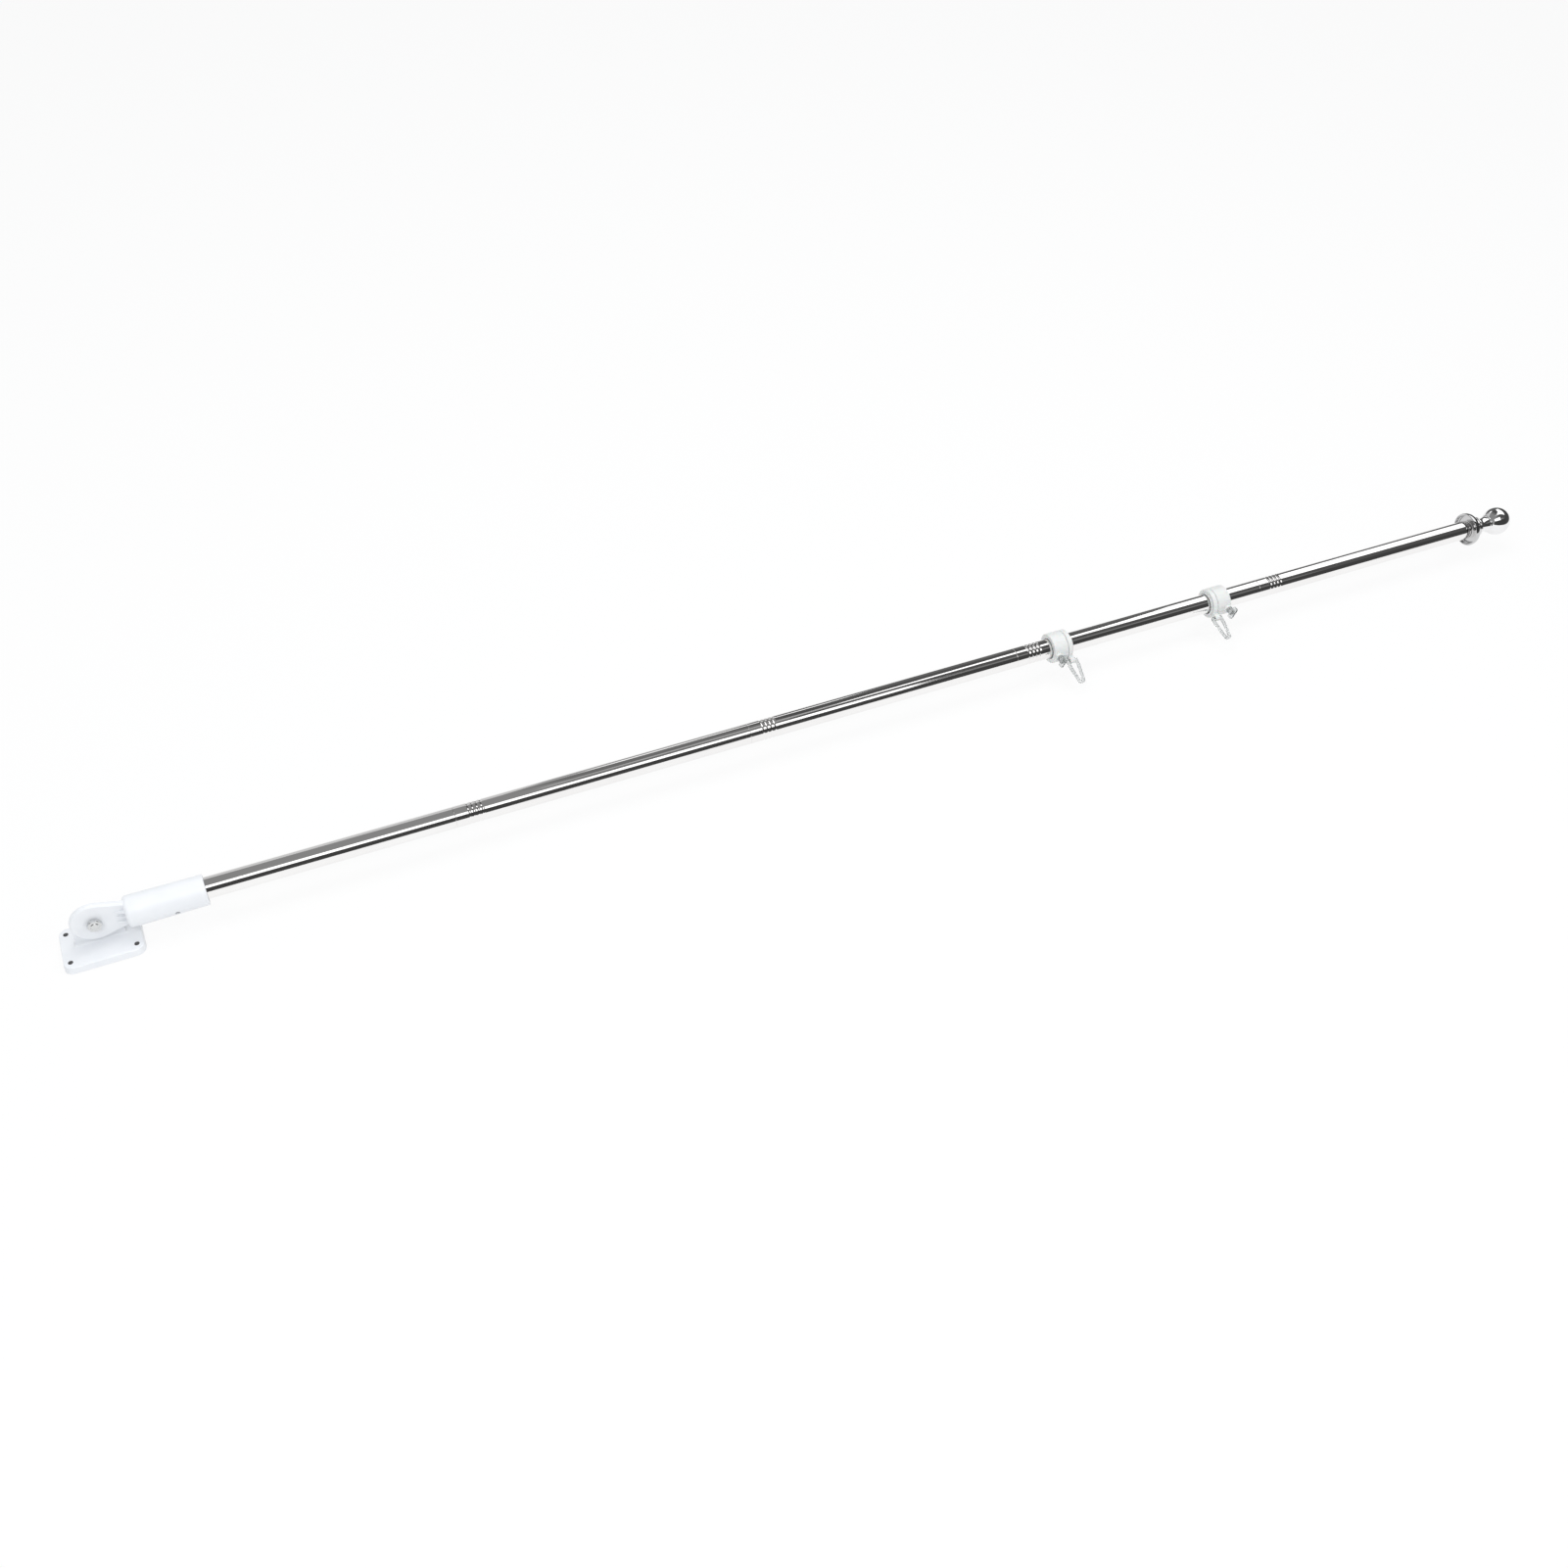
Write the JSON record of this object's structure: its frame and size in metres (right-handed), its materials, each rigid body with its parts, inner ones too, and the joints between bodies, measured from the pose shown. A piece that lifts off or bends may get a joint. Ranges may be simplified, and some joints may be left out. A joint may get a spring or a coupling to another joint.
{
  "type": "flagpole",
  "caption": "Sectional polished steel flagpole in a tilting wall bracket, with clamped swivel flag rings, leaf-shaped clips and a ball finial.",
  "frame": {"origin": "middle of the wall plate's flat back face", "axes": "+Z out of the wall through the plate, +X along the pole to the finial with the arm folded down beside the wall, -Y the side the pivot nut and the thumbscrews are on"},
  "size_m": [1.9645, 0.0884, 0.0645],
  "materials": {
    "white_casting": "satin white paint on a casting",
    "zinc_fastener": "zinc plated",
    "polished_steel": "mirror polished stainless steel",
    "plug_steel": "plain turned",
    "polished_finial": "mirror polished",
    "white_nylon": "moulded, slightly glossy",
    "clear_plastic": "clear moulded plastic"
  },
  "bodies": {
    "bracket": {"wall_plate": "white_casting", "pivot_bolt": "zinc_fastener", "pivot_nut": "zinc_fastener"},
    "arm": {"socket_arm": "white_casting", "socket_screw": "zinc_fastener", "pole_section_1": "polished_steel", "pole_section_2": "polished_steel", "pole_section_3": "polished_steel", "pole_section_4": "polished_steel", "pole_section_5": "polished_steel", "joint_plug_1": "plug_steel", "joint_plug_2": "plug_steel", "joint_plug_3": "plug_steel", "joint_plug_4": "plug_steel", "finial_flange": "polished_finial", "finial_stem": "polished_finial", "finial_ball": "polished_finial"},
    "lower_clamp": {"lower_collar": "white_nylon", "lower_thumbscrew": "clear_plastic"},
    "lower_swivel": {"lower_swivel_ring": "white_nylon"},
    "lower_hook": {"lower_clip": "clear_plastic"},
    "upper_clamp": {"upper_collar": "white_nylon", "upper_thumbscrew": "clear_plastic"},
    "upper_swivel": {"upper_swivel_ring": "white_nylon"},
    "upper_hook": {"upper_clip": "clear_plastic"}
  },
  "joints": [
    {"name": "arm_tilt", "type": "hinge", "parent": "bracket", "child": "arm", "pos_m": [0, 0, 0.039], "axis": [0, -1, 0], "range_deg": [0, 180]},
    {"name": "lower_slide", "type": "slide", "parent": "arm", "child": "lower_clamp", "axis": [1, 0, 0], "range_m": [-1, 0.09]},
    {"name": "lower_spin", "type": "hinge", "parent": "lower_clamp", "child": "lower_swivel", "pos_m": [1.2071, -0.0006, 0.039], "axis": [1, 0, 0], "continuous": true},
    {"name": "lower_swing", "type": "hinge", "parent": "lower_swivel", "child": "lower_hook", "pos_m": [1.2071, -0.0228, 0.02912], "axis": [1, 0, 0], "range_deg": [-75, 75]},
    {"name": "upper_slide", "type": "slide", "parent": "arm", "child": "upper_clamp", "axis": [1, 0, 0], "range_m": [-0.09, 0.38]},
    {"name": "upper_spin", "type": "hinge", "parent": "upper_clamp", "child": "upper_swivel", "pos_m": [1.4259, -0.0006, 0.039], "axis": [1, 0, 0], "continuous": true},
    {"name": "upper_swing", "type": "hinge", "parent": "upper_swivel", "child": "upper_hook", "pos_m": [1.4259, -0.02344, 0.03069], "axis": [1, 0, 0], "range_deg": [-75, 75]}
  ]
}
